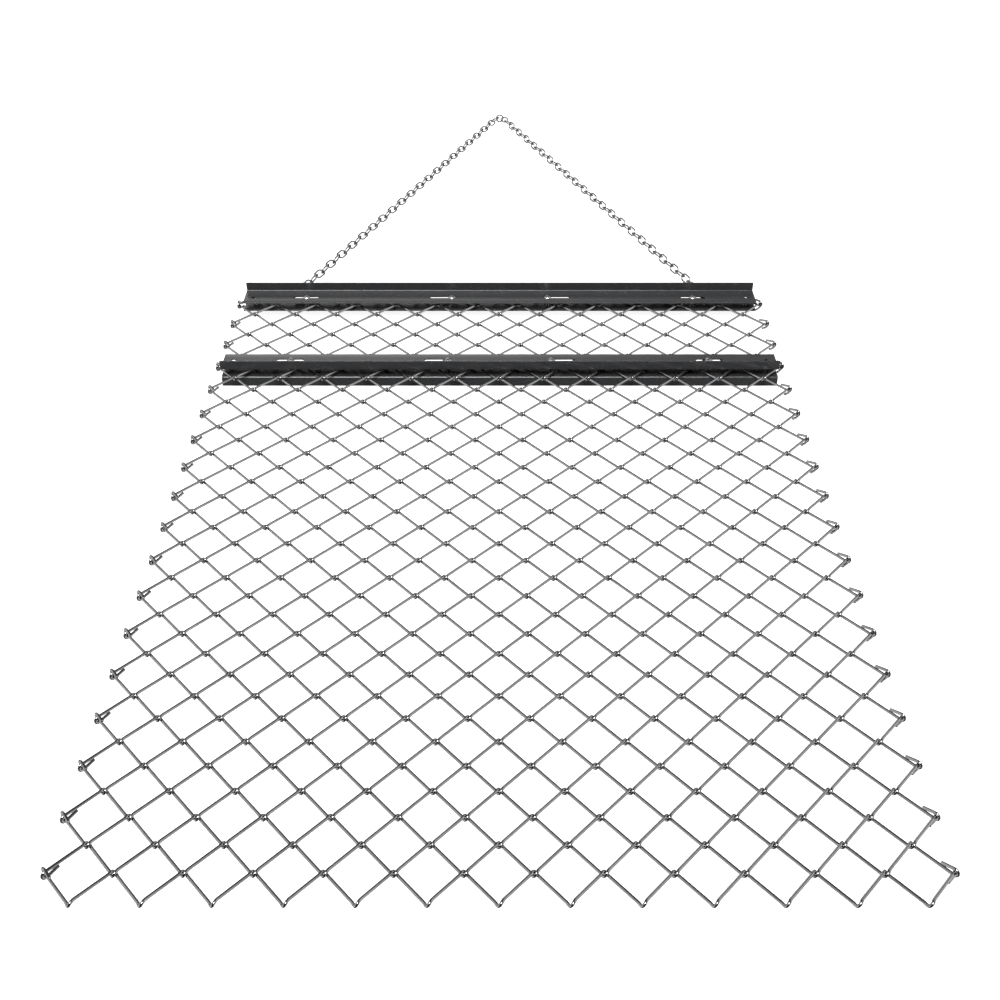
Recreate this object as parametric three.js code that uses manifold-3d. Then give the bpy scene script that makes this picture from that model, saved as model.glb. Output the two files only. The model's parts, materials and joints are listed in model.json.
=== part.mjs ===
// Chain harrow: a hinged mat of 36 zig-zag wires, two bolted clamp bars and a two-strand pull chain
// that meets in one hitch ring. Millimetres, +Z up, +Y towards the pull.
// Everything is laid out from the rear edge of the mat (Y = 0) and its middle plane (Z = 0), and the
// whole group is moved at the end so that the box sits on Z = 0, centred on X = 0 and Y = 0.
import * as THREE from "three";
import { mergeVertices } from "three/addons/utils/BufferGeometryUtils.js";
import Module from "manifold-3d";

const wasm = await Module();
wasm.setup();

const V = (x, y, z) => new THREE.Vector3(x, y, z);
const radians = THREE.MathUtils.degToRad;
const squareSide = (diameter) => (diameter * Math.sqrt(Math.PI)) / 2;

// Clearances
const fitGap = 0.3;
const weldDepth = 0.4;

// Mat
const cell = 117;
const rowPitch = cell / 2;
const cellCount = 13;
const wireCount = 36;
const wireDiameter = 6;
const layerGap = 1.2;
const layerSpacing = wireDiameter + layerGap;
const postHalfRun = 1.2;
const knuckleGap = 0.6;
const postOffset = (squareSide(wireDiameter) * Math.SQRT2 + knuckleGap) / 2;
const tailGap = 0.6;

// Clamp bars
const barInset = 15.5;
const barHalfLength = (cellCount * cell) / 2 - barInset;
const sheet = 3;
const flangeDepth = 80;
const legHeight = 28;
const bendRadius = 5;
const frontFacePastMat = 6.5;
const rearBarRowCount = 28;
const rearFacePastRow = 22.5;
const clampHalfGap = 10.5;
const boltLine = 47;
const outerBoltInset = 182;
const outerBoltInCell = 95;
const innerBoltX = 139.5;
const slotWidth = 13.6;
const outerSlotLength = 74;
const outerSlotShift = 2;
const innerSlotLength = 72;
const innerSlotShift = 28.5;
const endHoleInset = 27;
const endHoleDiameter = 13;
const roundSides = 8;

// Clamp bolts
const shankDiameter = 10;
const headAcrossFlats = 17;
const headHeight = 6.4;
const nutHeight = 8.4;
const washerDiameter = 21;
const washerThickness = 2;
const boltTip = 6;
const boltSides = 8;

// Pull chain
const chainWire = 5;
const linkInnerLength = 35.2;
const linkInnerWidth = 16;
const segmentLinks = [8, 8, 8, 9, 9];
const anchorInset = 177.3;
const chainHeight = 21;
const ringRadius = 12.5;
const ringSides = 12;
const twistAngle = { even: -23, odd: 67, last: 22 };
const stapleRod = 5;
const stapleHalfHeight = 8.5;
const stapleCentre = 22;

// Mesh helpers

// A closed surface through rings of equal vertex count, capped at its ends unless it runs round.
function skin(rings, runsRound) {
  const sides = rings[0].length;
  const position = rings.flat().flatMap((v) => [v.x, v.y, v.z]);
  const index = [];
  const spans = runsRound ? rings.length : rings.length - 1;
  for (let r = 0; r < spans; r++) {
    const next = (r + 1) % rings.length;
    for (let s = 0; s < sides; s++) {
      const t = (s + 1) % sides;
      const [a, b] = [r * sides + s, r * sides + t];
      const [c, d] = [next * sides + t, next * sides + s];
      index.push(a, b, c, a, c, d);
    }
  }
  if (!runsRound) {
    const last = (rings.length - 1) * sides;
    for (let s = 1; s < sides - 1; s++) {
      index.push(0, s + 1, s);
      index.push(last, last + s, last + s + 1);
    }
  }
  const geometry = new THREE.BufferGeometry();
  geometry.setAttribute("position", new THREE.Float32BufferAttribute(position, 3));
  geometry.setIndex(index);
  return geometry;
}

// A geometry as a solid whose faces point outwards.
function solidFrom(geometry) {
  const plain = geometry.clone();
  plain.deleteAttribute("normal");
  plain.deleteAttribute("uv");
  const merged = mergeVertices(plain, 1e-4);
  const make = (triVerts) =>
    new wasm.Manifold(
      new wasm.Mesh({
        numProp: 3,
        vertProperties: merged.attributes.position.array,
        triVerts,
      }),
    );
  const triVerts = new Uint32Array(merged.index.array);
  const made = make(triVerts);
  return made.volume() > 0 ? made : make(triVerts.slice().reverse());
}

function geometryFrom(solid) {
  const mesh = solid.getMesh();
  const geometry = new THREE.BufferGeometry();
  const kept = new Float32Array(mesh.numVert * 3);
  for (let i = 0; i < mesh.numVert; i++) {
    const from = i * mesh.numProp;
    kept.set(mesh.vertProperties.subarray(from, from + 3), i * 3);
  }
  geometry.setAttribute("position", new THREE.BufferAttribute(kept, 3));
  geometry.setIndex(new THREE.BufferAttribute(mesh.triVerts, 1));
  return geometry;
}

const group = new THREE.Group();

function addNode(name, solid, colour) {
  const geometry = geometryFrom(solid).toNonIndexed();
  geometry.computeVertexNormals();
  const mesh = new THREE.Mesh(geometry, new THREE.MeshStandardMaterial({ color: colour }));
  mesh.name = name;
  group.add(mesh);
}

const steel = 0xb9bcc0;
const black = 0x33363a;
const zinc = 0xd5d7da;

// Mat wires

const layer = layerSpacing / 2;
const tailLayer = layer + wireDiameter + tailGap;
const wireHalf = squareSide(wireDiameter) / 2;
const mitre = (point, offset, along, normal) =>
  point.clone().add(offset).addScaledVector(along, -offset.dot(normal) / along.dot(normal));

// The points of one wire from its left tail to its right tail. Segments that rise to the right lie
// in the upper layer and the others in the lower one; at each knuckle a short post joins the two.
// Each end is folded back over its own last leg as far as the end of the clamp bars, which it
// keeps from sliding sideways along the mat.
function wirePath(number) {
  const odd = number % 2 === 1;
  const nearRow = (number - 1) * rowPitch;
  const farRow = number * rowPitch;
  const count = 2 * cellCount + 1;
  const points = [];
  for (let i = 0; i < count; i++) {
    const atPeak = odd ? i % 2 === 0 : i % 2 === 1;
    const sign = atPeak ? 1 : -1;
    const knuckle = V((i - cellCount) * rowPitch, atPeak ? farRow : nearRow, 0);
    const [first, last] = [i === 0, i === count - 1];
    const enterHeight = sign * (first ? tailLayer : layer);
    const leaveHeight = -sign * (last ? tailLayer : layer);
    const enter = V(-postHalfRun, sign * postOffset, enterHeight).add(knuckle);
    const leave = V(postHalfRun, sign * postOffset, leaveHeight).add(knuckle);
    const back = V(rowPitch / 2 - postHalfRun, -sign * (rowPitch / 2 + postOffset), 0).normalize();
    const tailReach = barInset + postHalfRun - wireHalf * Math.abs(back.y) - fitGap;
    back.multiplyScalar(tailReach / back.x);
    if (first) points.push(enter.clone().add(back));
    points.push(enter, leave);
    if (last) points.push(leave.clone().add(back.multiply(V(-1, 1, 1))));
  }
  return points;
}

// Square section swept along the wire, lying flat in every level run.
function wireSolid(number) {
  const points = wirePath(number);
  const runs = points.slice(1).map((p, i) => p.clone().sub(points[i]).normalize());
  const level = (run) => Math.abs(run.z) < 1e-6;
  const offsets = (run) => {
    const side = V(0, 0, 1).cross(run);
    return [
      [1, 1],
      [1, -1],
      [-1, -1],
      [-1, 1],
    ].map(([a, z]) => side.clone().multiplyScalar(a * wireHalf).add(V(0, 0, z * wireHalf)));
  };
  const rings = [];
  let shift = 0;
  points.forEach((point, i) => {
    const before = runs[i - 1] ?? runs[i];
    const after = runs[i] ?? runs[i - 1];
    const along = level(before) ? before : after;
    const normal = before.clone().add(after).normalize();
    const ring = offsets(along).map((o) => mitre(point, o, along, normal));
    if (i > 0 && !level(before)) {
      // After a post the ring is turned to the numbering that twists the post least.
      const post = point.clone().sub(points[i - 1]);
      const previous = rings[i - 1];
      const twist = (k) =>
        previous.reduce(
          (sum, v, j) => sum + v.clone().add(post).distanceToSquared(ring[(j + k) % 4]),
          0,
        );
      shift = [0, 1, 2, 3].reduce((best, k) => (twist(k) < twist(best) ? k : best), 0);
    }
    rings.push(ring.map((_, j) => ring[(j + shift) % 4]));
  });
  return solidFrom(skin(rings, false));
}

for (let n = 1; n <= wireCount; n++) {
  addNode("wire_" + String(n).padStart(2, "0"), wireSolid(n), steel);
}

// Clamp bars

const flangeFace = clampHalfGap;
const frontFace = wireCount * rowPitch + frontFacePastMat;
const rearFace = rearBarRowCount * rowPitch + rearFacePastRow;
const endHoleX = barHalfLength - endHoleInset;

// Each outer bolt stands in the mesh opening nearest its place on the bar, clear of the wires.
const outerBoltX =
  cell * Math.floor((barHalfLength - outerBoltInset) / cell) + outerBoltInCell;
const slots = [
  { x: outerBoltX + outerSlotShift, length: outerSlotLength },
  { x: innerBoltX + innerSlotShift, length: innerSlotLength },
];

// An upright prism over an outline in X and Y.
function prism(outline, bottom, top) {
  const geometry = new THREE.ExtrudeGeometry(new THREE.Shape(outline), {
    depth: top - bottom,
    bevelEnabled: false,
  });
  return solidFrom(geometry.translate(0, 0, bottom));
}

function roundOutline(x, y, diameter, sides, length = 0) {
  const points = [];
  for (let i = 0; i < sides; i++) {
    const a = (2 * Math.PI * (i + 0.5)) / sides;
    const end = Math.cos(a) > 0 ? 1 : -1;
    const reach = diameter / 2 / Math.cos(Math.PI / sides);
    const px = x + (end * length) / 2 + reach * Math.cos(a);
    points.push(new THREE.Vector2(px, y + reach * Math.sin(a)));
  }
  return points;
}

// The upper angle of a bar whose upright leg faces +Y at Y = 0.
function angleSolid() {
  const bottom = flangeFace;
  const bend = [0, 1, 2, 3].map((i) => {
    const a = radians(-90 + 30 * i);
    const y = -bendRadius + bendRadius * Math.cos(a);
    return new THREE.Vector2(y, bottom + bendRadius + bendRadius * Math.sin(a));
  });
  const inner = bendRadius - sheet;
  const innerBend = [0, 1].map((i) => {
    const a = radians(-90 * i);
    const y = -bendRadius + inner * Math.cos(a);
    return new THREE.Vector2(y, bottom + bendRadius + inner * Math.sin(a));
  });
  const profile = [
    new THREE.Vector2(-flangeDepth, bottom),
    ...bend,
    new THREE.Vector2(0, bottom + legHeight),
    new THREE.Vector2(-sheet, bottom + legHeight),
    ...innerBend,
    new THREE.Vector2(-flangeDepth, bottom + sheet),
  ];
  const geometry = new THREE.ExtrudeGeometry(new THREE.Shape(profile), {
    depth: 2 * barHalfLength,
    bevelEnabled: false,
  });
  // The profile's first axis becomes Y, its second Z, and the run X.
  const turn = new THREE.Matrix4().makeBasis(V(0, 1, 0), V(0, 0, 1), V(1, 0, 0));
  geometry.applyMatrix4(turn).translate(-barHalfLength, 0, 0);
  let solid = solidFrom(geometry);
  const [low, high] = [bottom - sheet, bottom + 2 * sheet];
  [-1, 1].forEach((side) => {
    slots.forEach(({ x, length }) => {
      const run = length - slotWidth;
      const outline = roundOutline(side * x, -boltLine, slotWidth, roundSides, run);
      solid = solid.subtract(prism(outline, low, high));
    });
    const outline = roundOutline(side * endHoleX, -boltLine, endHoleDiameter, roundSides);
    solid = solid.subtract(prism(outline, low, high));
  });
  return solid;
}

// Pull chain layout

const anchorX = barHalfLength - anchorInset;

const linkHalf = squareSide(chainWire) / 2;
const linkEnd = linkInnerLength / 2 + linkHalf;
const linkSide = linkInnerWidth / 2 + linkHalf;
const endHalfRun = 7.5;
const fusedStep = linkInnerLength + weldDepth;
const jointStep = linkInnerLength - fitGap;

const linkSteps = [];
segmentLinks.forEach((count, s) => {
  for (let i = 0; i < count; i++) {
    if (linkSteps.length === 0) linkSteps.push(0);
    else linkSteps.push(linkSteps.at(-1) + (i === 0 ? jointStep : fusedStep));
  }
});
// The square rod of the ring meets the last link askew, so its seat is found from the strand's lean.
const lastLinkEye = linkSteps.at(-1) + linkInnerLength / 2;
const lean = Math.asin((anchorX - ringRadius) / (lastLinkEye - linkHalf));
const ringSeat = linkHalf * (Math.cos(lean) + Math.sin(lean));
const ringContact = lastLinkEye - ringSeat - fitGap;
const strandSine = (anchorX - ringRadius) / ringContact;
const strandCosine = Math.sqrt(1 - strandSine * strandSine);

// How far the rear end of the first link reaches behind its centre, measured along Y.
const firstLinkReach =
  (linkEnd + linkHalf) * strandCosine + (endHalfRun + linkHalf) * strandSine;
const chainStartY = frontFace + fitGap + firstLinkReach;

// side is -1 for the left strand and 1 for the right one.
const strand = (side) => ({
  start: V(side * anchorX, chainStartY, chainHeight),
  along: V(-side * strandSine, strandCosine, 0),
  across: V(-side * strandCosine, -strandSine, 0),
  turn: -side,
});

function linkSolid(centre, along, across, up) {
  const outline = [
    [linkEnd, -endHalfRun],
    [linkEnd, endHalfRun],
    [0, linkSide],
    [-linkEnd, endHalfRun],
    [-linkEnd, -endHalfRun],
    [0, -linkSide],
  ].map(([x, y]) => V(x, y, 0));
  const place = (p) =>
    centre
      .clone()
      .addScaledVector(along, p.x)
      .addScaledVector(across, p.y)
      .addScaledVector(up, p.z);
  return solidFrom(skin(squareLoop(outline, linkHalf).map((r) => r.map(place)), true));
}

// Square section rings round a closed outline that lies in the X-Y plane.
function squareLoop(outline, half) {
  const count = outline.length;
  return outline.map((point, i) => {
    const before = point.clone().sub(outline[(i + count - 1) % count]).normalize();
    const after = outline[(i + 1) % count].clone().sub(point).normalize();
    const outward = V(before.y + after.y, -before.x - after.x, 0).normalize();
    const reach = half / outward.dot(V(before.y, -before.x, 0));
    return [
      [-1, -1],
      [1, -1],
      [1, 1],
      [-1, 1],
    ].map(([o, z]) => point.clone().addScaledVector(outward, o * reach).add(V(0, 0, z * half)));
  });
}

function strandSolids(side) {
  const { start, along, across, turn } = strand(side);
  const upright = V(0, 0, 1);
  const last = linkSteps.length - 1;
  const links = linkSteps.map((step, i) => {
    const kind = i === last ? "last" : i % 2 === 0 ? "even" : "odd";
    const angle = radians(turn * twistAngle[kind]);
    const wide = across
      .clone()
      .multiplyScalar(Math.cos(angle))
      .addScaledVector(upright, Math.sin(angle));
    const thick = along.clone().cross(wide);
    return linkSolid(start.clone().addScaledVector(along, step), along, wide, thick);
  });
  let first = 0;
  return segmentLinks.map((count) => {
    const run = links.slice(first, first + count);
    first += count;
    return run.reduce((a, b) => a.add(b));
  });
}

// A U of rod on the front face, round which the first link of a strand hangs.
function stapleSolid(side) {
  const { start, along } = strand(side);
  const half = squareSide(stapleRod) / 2;
  const back = linkInnerLength / 2 - half * (strandCosine + strandSine) - fitGap;
  const middle = start.clone().addScaledVector(along, -back);
  const root = frontFace - sheet / 2;
  const [low, high] = [stapleCentre - stapleHalfHeight, stapleCentre + stapleHalfHeight];
  const points = [
    V(middle.x, root, low),
    V(middle.x, middle.y, low),
    V(middle.x, middle.y, high),
    V(middle.x, root, high),
  ];
  const runs = points.slice(1).map((p, i) => p.clone().sub(points[i]).normalize());
  const rings = points.map((point, i) => {
    const before = runs[i - 1] ?? runs[i];
    const after = runs[i] ?? runs[i - 1];
    const normal = before.clone().add(after).normalize();
    const side = V(1, 0, 0);
    const lift = side.clone().cross(before);
    return [
      [-1, -1],
      [1, -1],
      [1, 1],
      [-1, 1],
    ].map(([a, b]) => {
      const offset = side.clone().multiplyScalar(a * half).addScaledVector(lift, b * half);
      return mitre(point, offset, before, normal);
    });
  });
  return solidFrom(skin(rings, false));
}

const upper = angleSolid();
const lower = upper.rotate([0, 180, 0]);
const place = (solid, atRear, face) =>
  (atRear ? solid.rotate([0, 0, 180]) : solid).translate([0, face, 0]);
const frontUpper = [-1, 1].reduce(
  (solid, side) => solid.add(stapleSolid(side)),
  place(upper, false, frontFace),
);
addNode("front_upper_angle", frontUpper, black);
addNode("front_lower_angle", place(lower, false, frontFace), black);
addNode("rear_upper_angle", place(upper, true, rearFace), black);
addNode("rear_lower_angle", place(lower, true, rearFace), black);

// Clamp bolts: head and washer above the bar, nut and washer below it.
function boltSolid(x, y) {
  const outside = flangeFace + sheet + fitGap;
  const top = outside + washerThickness;
  const disc = (diameter, sides, low, high) =>
    prism(roundOutline(x, y, diameter, sides), low, high);
  const bottom = -top - nutHeight - boltTip;
  return disc(shankDiameter, boltSides, bottom, top + headHeight / 2)
    .add(disc(washerDiameter, boltSides, outside, top))
    .add(disc(headAcrossFlats, 6, top - weldDepth, top + headHeight))
    .add(disc(washerDiameter, boltSides, -top, -outside))
    .add(disc(headAcrossFlats, 6, -top - nutHeight, -top + weldDepth));
}

[-outerBoltX, -innerBoltX, innerBoltX, outerBoltX].forEach((x, i) => {
  addNode("front_bolt_" + (i + 1), boltSolid(x, frontFace - boltLine), zinc);
  addNode("rear_bolt_" + (i + 1), boltSolid(x, rearFace + boltLine), zinc);
});

// Pull chain and hitch ring

strandSolids(-1).forEach((solid, i) => addNode("left_chain_" + (i + 1), solid, zinc));
strandSolids(1).forEach((solid, i) => addNode("right_chain_" + (i + 1), solid, zinc));

const ringCentre = V(0, chainStartY + ringContact * strandCosine, chainHeight);
const ringOutline = roundOutline(0, 0, 2 * ringRadius, ringSides).map((p) => V(p.x, p.y, 0));
const ringGeometry = skin(squareLoop(ringOutline, linkHalf), true);
ringGeometry.rotateX(radians(90)).translate(...ringCentre.toArray());
addNode("hitch_ring", solidFrom(ringGeometry), zinc);

// Origin at the bottom centre of the whole box
const box = new THREE.Box3().setFromObject(group);
const middle = box.getCenter(V(0, 0, 0));
group.children.forEach((mesh) => mesh.geometry.translate(-middle.x, -middle.y, -box.min.z));

export default group;
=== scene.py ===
"""Looks of the chain harrow: a hinged mat of zig-zag wires, two clamp bars and a pull chain."""

import json
import math

import bmesh
import bpy
import numpy as np
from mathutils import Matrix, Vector


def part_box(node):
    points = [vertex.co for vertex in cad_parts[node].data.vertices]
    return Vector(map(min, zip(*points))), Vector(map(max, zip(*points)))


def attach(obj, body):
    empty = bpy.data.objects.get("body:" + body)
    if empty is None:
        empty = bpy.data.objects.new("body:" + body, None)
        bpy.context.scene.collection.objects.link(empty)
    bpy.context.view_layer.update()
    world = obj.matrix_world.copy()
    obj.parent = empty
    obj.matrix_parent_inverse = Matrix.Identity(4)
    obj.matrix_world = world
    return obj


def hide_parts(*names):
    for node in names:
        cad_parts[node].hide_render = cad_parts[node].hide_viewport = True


bl_info = {
    "name": "Chain harrow looks",
    "version": (1, 0, 0),
    "blender": (4, 5, 0),
    "location": "View3D > Sidebar > Harrow",
    "description": "Builds the wires, bars, bolts and chains of a drag harrow round its frame",
    "category": "Add Mesh",
}

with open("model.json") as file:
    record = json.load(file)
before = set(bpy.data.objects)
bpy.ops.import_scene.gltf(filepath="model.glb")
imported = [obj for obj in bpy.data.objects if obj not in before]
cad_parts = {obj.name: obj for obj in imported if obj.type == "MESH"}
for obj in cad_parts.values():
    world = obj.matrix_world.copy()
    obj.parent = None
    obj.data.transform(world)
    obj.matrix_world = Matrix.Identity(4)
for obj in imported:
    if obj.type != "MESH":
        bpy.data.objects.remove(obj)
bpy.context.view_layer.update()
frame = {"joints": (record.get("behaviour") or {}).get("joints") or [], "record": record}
BODY_OF = {
    node: body
    for body, nodes in frame["record"]["behaviour"]["bodies"].items()
    for node in nodes
}

# Where the frame lies: the hinge rows, the middle plane of the mat and the faces of the bars.
JOINT_AT = {joint["name"]: joint["pos_m"] for joint in frame["joints"]}
CELL = 0.117
ROW = CELL / 2
MAT_Z = JOINT_AT["row_10"][2]
ROW_ZERO = JOINT_AT["row_10"][1] - 10 * ROW
CELLS_ACROSS = 13
WIRES = 36
FRONT_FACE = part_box("front_lower_angle")[1].y
REAR_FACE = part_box("rear_lower_angle")[0].y
FLANGE_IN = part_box("front_lower_angle")[1].z
SHEET = 0.003
CHAIN_Z = JOINT_AT["ring_tilt"][2]
RING_Y = JOINT_AT["ring_tilt"][1]
UP = np.array([0.0, 0.0, 1.0])
DOUBLED = 1e-6


# Vector helpers, all on whole arrays of points


def unit(vectors):
    """Each row divided by its own length."""
    length = np.linalg.norm(vectors, axis=-1, keepdims=True)
    return vectors / np.maximum(length, 1e-12)


def grid_faces(rows, columns, wrap_rows=False, wrap_columns=True):
    """Quads of a rows by columns grid of vertices, numbered row by row."""
    r = np.arange(rows if wrap_rows else rows - 1)[:, None]
    c = np.arange(columns if wrap_columns else columns - 1)[None, :]
    here, right = r * columns + c, r * columns + (c + 1) % columns
    up = ((r + 1) % rows) * columns + c
    across = ((r + 1) % rows) * columns + (c + 1) % columns
    return np.stack([here, right, across, up], -1).reshape(-1, 4)


# How far out the three rings of a rounded tip lie, and how wide they are, as shares of the radius
TIP_OUT = 0.35 * np.array([0.45, 0.85, 1.0])
TIP_SHRINK = np.array([0.97, 0.7, 0.35])


def tube(path, radius, sides, closed=False, up=(0.0, 0.0, 1.0)):
    """Circle of the given radius carried along a path.

    Vertex (i, j) = path_i + r_i (cos a_j side_i + sin a_j top_i), where side is square to the
    tangent and turns as little as possible, and top is the cross product of tangent and side. Open
    ends get a small rounding and a fan.
    """
    path = np.asarray(path, float)
    if closed:
        tangent = unit(np.roll(path, -1, 0) - np.roll(path, 1, 0))
    else:
        tangent = unit(np.gradient(path, axis=0))
    side = side_vectors(path, tangent, np.asarray(up, float))
    top = np.cross(tangent, side)
    radii = np.broadcast_to(np.asarray(radius, float), (len(path),))[:, None, None]
    angle = 2 * np.pi * np.arange(sides) / sides
    cosine, sine = np.cos(angle)[None, :, None], np.sin(angle)[None, :, None]
    ring = cosine * side[:, None] + sine * top[:, None]
    points = path[:, None] + radii * ring
    faces = grid_faces(len(path), sides, wrap_rows=closed)
    if closed:
        return points.reshape(-1, 3), [faces]
    blocks = []
    for end, direction in ((0, -1.0), (-1, 1.0)):
        r = radii[end, 0, 0]
        out = path[end] + direction * tangent[end] * (TIP_OUT[:, None] * r)
        blocks.append(out[:, None] + r * TIP_SHRINK[:, None, None] * ring[end][None])
    points = np.concatenate([blocks[0][::-1], points, blocks[1]])
    count = len(points)
    faces = grid_faces(count, sides)
    tips = np.stack([points[0].mean(0), points[-1].mean(0)])
    vertices = np.concatenate([points.reshape(-1, 3), tips])
    j = np.arange(sides)
    k = (j + 1) % sides
    first = np.stack([np.full(sides, count * sides), k, j], -1)
    last_row = (count - 1) * sides
    last = np.stack([np.full(sides, count * sides + 1), last_row + j, last_row + k], -1)
    return vertices, [faces, first, last]


def side_vectors(path, tangent, up):
    """Side vectors that turn as little as possible along the path.

    The first is tangent x up; each next one is the last one less its part along the new tangent.
    The walk is over path points, of which there are few, and never over mesh vertices.
    """
    side = np.empty_like(path)
    first = np.cross(tangent[0], up)
    if np.linalg.norm(first) < 1e-6:
        first = np.cross(tangent[0], [1.0, 0.0, 0.0])
    side[0] = unit(first[None])[0]
    for i in range(1, len(path)):
        turned = side[i - 1] - tangent[i] * float(side[i - 1] @ tangent[i])
        side[i] = turned / np.linalg.norm(turned)
    return side


def merged(parts):
    """Vertices and faces of several parts as one mesh, with the face numbers moved along."""
    vertices, faces, start = [], [], 0
    for points, blocks in parts:
        vertices.append(np.asarray(points, float))
        faces += [block + start for block in blocks]
        start += len(points)
    return np.concatenate(vertices), faces


def make_object(name, vertices, face_blocks, material, smooth=True):
    """A mesh object at the origin from a vertex array and blocks of faces of one size each."""
    mesh = bpy.data.meshes.new(name)
    counts = np.concatenate([np.full(len(b), b.shape[1], np.int32) for b in face_blocks])
    corners = np.concatenate([b.reshape(-1) for b in face_blocks]).astype(np.int32)
    mesh.vertices.add(len(vertices))
    mesh.vertices.foreach_set("co", np.asarray(vertices, np.float32).reshape(-1))
    mesh.loops.add(len(corners))
    mesh.loops.foreach_set("vertex_index", corners)
    mesh.polygons.add(len(counts))
    starts = np.concatenate([[0], np.cumsum(counts)[:-1]]).astype(np.int32)
    mesh.polygons.foreach_set("loop_start", starts)
    mesh.polygons.foreach_set("use_smooth", np.full(len(counts), bool(smooth)))
    mesh.update(calc_edges=True)
    mesh.validate()
    mesh.materials.append(material)
    piece = bpy.data.objects.new(name, mesh)
    bpy.context.scene.collection.objects.link(piece)
    return piece


def stand_for(piece, node):
    """The piece takes the place of a frame node and moves with its body."""
    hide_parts(node)
    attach(piece, BODY_OF[node])


def tidy_mesh(piece):
    """Merges doubled vertices and turns every face outwards."""
    mesh = bmesh.new()
    mesh.from_mesh(piece.data)
    bmesh.ops.remove_doubles(mesh, verts=mesh.verts, dist=DOUBLED)
    bmesh.ops.recalc_face_normals(mesh, faces=mesh.faces)
    mesh.to_mesh(piece.data)
    mesh.free()


# Shader helpers


class Value:
    """A shader socket that can be used in sums, differences and products."""

    def __init__(self, nodes, socket):
        self.nodes = nodes
        self.socket = socket

    def _math(self, operation, *values):
        return self.nodes.add("ShaderNodeMath", {"operation": operation}, *values)

    def __add__(self, other):
        return self._math("ADD", self, other)

    __radd__ = __add__

    def __sub__(self, other):
        return self._math("SUBTRACT", self, other)

    def __rsub__(self, other):
        return self._math("SUBTRACT", other, self)

    def __mul__(self, other):
        return self._math("MULTIPLY", self, other)

    __rmul__ = __mul__

    def absolute(self):
        """The value without its sign."""
        return self._math("ABSOLUTE", self)

    def clamp(self):
        """The value held between 0 and 1."""
        return self._math("MINIMUM", self._math("MAXIMUM", self, 0.0), 1.0)

    def step(self, low, high):
        """Smooth rise from 0 at low to 1 at high."""
        smooth = {"interpolation_type": "SMOOTHSTEP", "clamp": True}
        return self.nodes.add("ShaderNodeMapRange", smooth, self, low, high, 0.0, 1.0)


class Nodes:
    """Adds nodes to one shader tree, which it empties first."""

    def __init__(self, tree):
        self.tree = tree
        self.tree.nodes.clear()

    def add(self, kind, settings, *values, output=0, **named):
        """One node of a kind: its settings are set first, then its inputs, by order or by name."""
        node = self.tree.nodes.new(kind)
        for key, value in settings.items():
            setattr(node, key, value)
        for index, value in list(enumerate(values)) + list(named.items()):
            key = index if isinstance(index, int) else index.replace("_", " ")
            if isinstance(value, Value):
                self.tree.links.new(value.socket, node.inputs[key])
            else:
                node.inputs[key].default_value = value
        return Value(self, node.outputs[output])

    def noise(self, scale, detail, rough=0.5):
        """Noise on Object coordinates, which move with the piece."""
        where = self.add("ShaderNodeTexCoord", {}, output="Object")
        return self.add(
            "ShaderNodeTexNoise", {}, Vector=where, Scale=scale, Detail=detail, Roughness=rough
        )

    def mix(self, factor, first, second):
        """Colour mix, from the first to the second."""
        node = self.tree.nodes.new("ShaderNodeMix")
        node.data_type = "RGBA"
        for index, value in ((0, factor), (6, first), (7, second)):
            socket = node.inputs[index]
            if isinstance(value, Value):
                self.tree.links.new(value.socket, socket)
            else:
                socket.default_value = value if isinstance(value, float) else (*value[:3], 1.0)
        return Value(self, node.outputs[2])

    def split(self, vector):
        """The X, Y and Z parts of a vector."""
        node = self.tree.nodes.new("ShaderNodeSeparateXYZ")
        self.tree.links.new(vector.socket, node.inputs[0])
        return [Value(self, socket) for socket in node.outputs]

    def blend(self, factor, first, second):
        """Mix of two shaders, from the first to the second."""
        node = self.tree.nodes.new("ShaderNodeMixShader")
        for socket, value in zip(node.inputs, (factor, first, second)):
            self.tree.links.new(value.socket, socket)
        return Value(self, node.outputs[0])

    def ray(self, kind):
        """1 where the surface is seen by a ray of this kind."""
        return self.add("ShaderNodeLightPath", {}, output="Is %s Ray" % kind)

    def finish(self, shader, kind="ShaderNodeOutputMaterial"):
        """Joins the shader to the tree's output."""
        output = self.tree.nodes.new(kind)
        self.tree.links.new(shader.socket, output.inputs["Surface"])


def new_material(name):
    """An empty material and the nodes object that fills it."""
    material = bpy.data.materials.new(name)
    material.use_nodes = True
    return material, Nodes(material.node_tree)


# Noise scales per metre, and the colours and roughness of each finish
MOTTLE_SCALE = 90.0
PATCH_SCALE = 14.0
GRAIN_SCALE = 900.0
PEEL_SCALE = 1400.0
# Size of the powder coat's lighter patches, which stand partly for settled dust and partly for a
# painted sheen
DUST_AND_SHEEN_SCALE = 18.0
BUMP_DEPTH = 0.0002
WIRE_DULL = (0.36, 0.36, 0.37)
WIRE_ROUGHNESS = 0.06
CHAIN_DULL = (0.28, 0.28, 0.29)
CHAIN_ROUGHNESS = 0.30
PLATE_BRIGHT = (0.62, 0.62, 0.63)
PLATE_DULL = (0.45, 0.45, 0.46)
PLATE_ROUGHNESS = 0.22
# Lighter grey of the powder coat's random patches: partly settled dust, partly a painted sheen
COAT_DUST_AND_SHEEN = (0.042, 0.042, 0.044)
COAT_ROUGHNESS = 0.245
COAT_GLOSS = 0.9


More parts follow.
